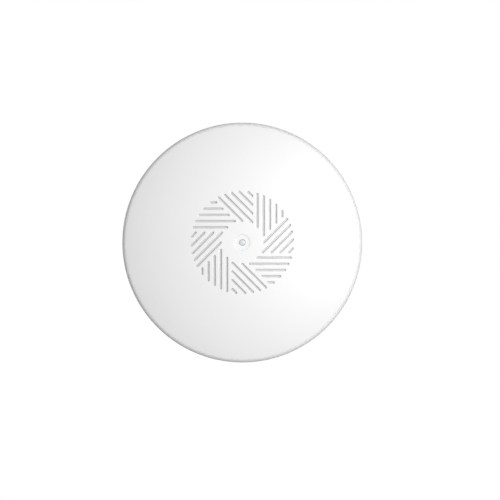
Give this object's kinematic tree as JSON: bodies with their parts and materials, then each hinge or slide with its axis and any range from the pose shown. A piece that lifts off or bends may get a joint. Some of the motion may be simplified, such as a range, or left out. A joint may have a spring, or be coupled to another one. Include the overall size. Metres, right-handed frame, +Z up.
{
  "type": "ceiling access point",
  "caption": "Round domed ceiling wireless access point with a pinwheel of grooves round its status light, a cable bay with sockets behind, and a twist-lock bracket.",
  "frame": {"origin": "centre of the mounting bracket's ceiling face, which lies against the ceiling", "axes": "+Z is up, into the ceiling, and the domed face looks down (-Z); the sockets in the cable bay face -Y and the side cable exit leaves towards -Y; X runs through the two box-screw slots"},
  "size_m": [0.2, 0.2, 0.038],
  "materials": {
    "white_plastic": "satin, fine moulded grain",
    "bracket_plastic": "moulded, matt",
    "milky_plastic": "translucent, smooth",
    "led_package": "clear resin",
    "board_laminate": "solder mask",
    "chip_epoxy": "matt",
    "black_plastic": "moulded, matt",
    "capacitor_sleeve": "shrunk sleeve",
    "tinned_steel": "tinned sheet",
    "gold_plate": "plated",
    "aluminium_fins": "extruded, matt",
    "screw_steel": "zinc plated",
    "thermal_pad": "soft, matt",
    "label_paper": "blank film",
    "ferrite": "sintered, matt",
    "coax_sleeve": "jacket"
  },
  "bodies": {
    "bracket": {"mounting_bracket": "bracket_plastic"},
    "housing": {"rear_shell": "white_plastic", "front_cover": "white_plastic", "light_pipe": "milky_plastic", "rating_label": "label_paper", "main_board": "board_laminate", "status_led": "led_package", "processor_chip": "chip_epoxy", "memory_chip": "chip_epoxy", "flash_chip": "chip_epoxy", "clock_crystal": "tinned_steel", "network_magnetics": "black_plastic", "poe_transformer": "ferrite", "power_inductor": "ferrite", "bulk_capacitor_1": "capacitor_sleeve", "bulk_capacitor_2": "capacitor_sleeve", "radio_chip_2g": "chip_epoxy", "shield_can_2g": "tinned_steel", "thermal_pad_2g": "thermal_pad", "radio_chip_5g": "chip_epoxy", "shield_can_5g": "tinned_steel", "thermal_pad_5g": "thermal_pad", "radio_heat_sink": "aluminium_fins", "thermal_pad_processor": "thermal_pad", "processor_heat_sink": "aluminium_fins", "network_jack_shell": "tinned_steel", "network_jack_insert": "black_plastic", "network_jack_contacts": "gold_plate", "power_jack": "black_plastic", "power_jack_pin": "tinned_steel", "reset_switch": "black_plastic", "antenna_2g_north": "tinned_steel", "antenna_lead_2g_north": "coax_sleeve", "antenna_plug_2g_north": "gold_plate", "antenna_5g_east": "tinned_steel", "antenna_lead_5g_east": "coax_sleeve", "antenna_plug_5g_east": "gold_plate", "antenna_2g_south": "tinned_steel", "antenna_lead_2g_south": "coax_sleeve", "antenna_plug_2g_south": "gold_plate", "antenna_5g_west": "tinned_steel", "antenna_lead_5g_west": "coax_sleeve", "antenna_plug_5g_west": "gold_plate", "housing_screw_1": "screw_steel", "housing_screw_2": "screw_steel", "housing_screw_3": "screw_steel", "housing_screw_4": "screw_steel", "board_screw_1": "screw_steel", "board_screw_2": "screw_steel", "board_screw_3": "screw_steel", "board_screw_4": "screw_steel"},
    "reset_button": {"reset_button": "black_plastic"}
  },
  "joints": [
    {"name": "bracket_twist", "type": "hinge", "parent": "bracket", "child": "housing", "pos_m": [0, 0, 0], "axis": [0, 0, -1], "range_deg": [0, 26]},
    {"name": "reset_press", "type": "slide", "parent": "housing", "child": "reset_button", "axis": [0, 1, 0], "range_m": [0, 0.0004], "stiffness_N_per_m": 1000, "springref_m": -0.001}
  ]
}
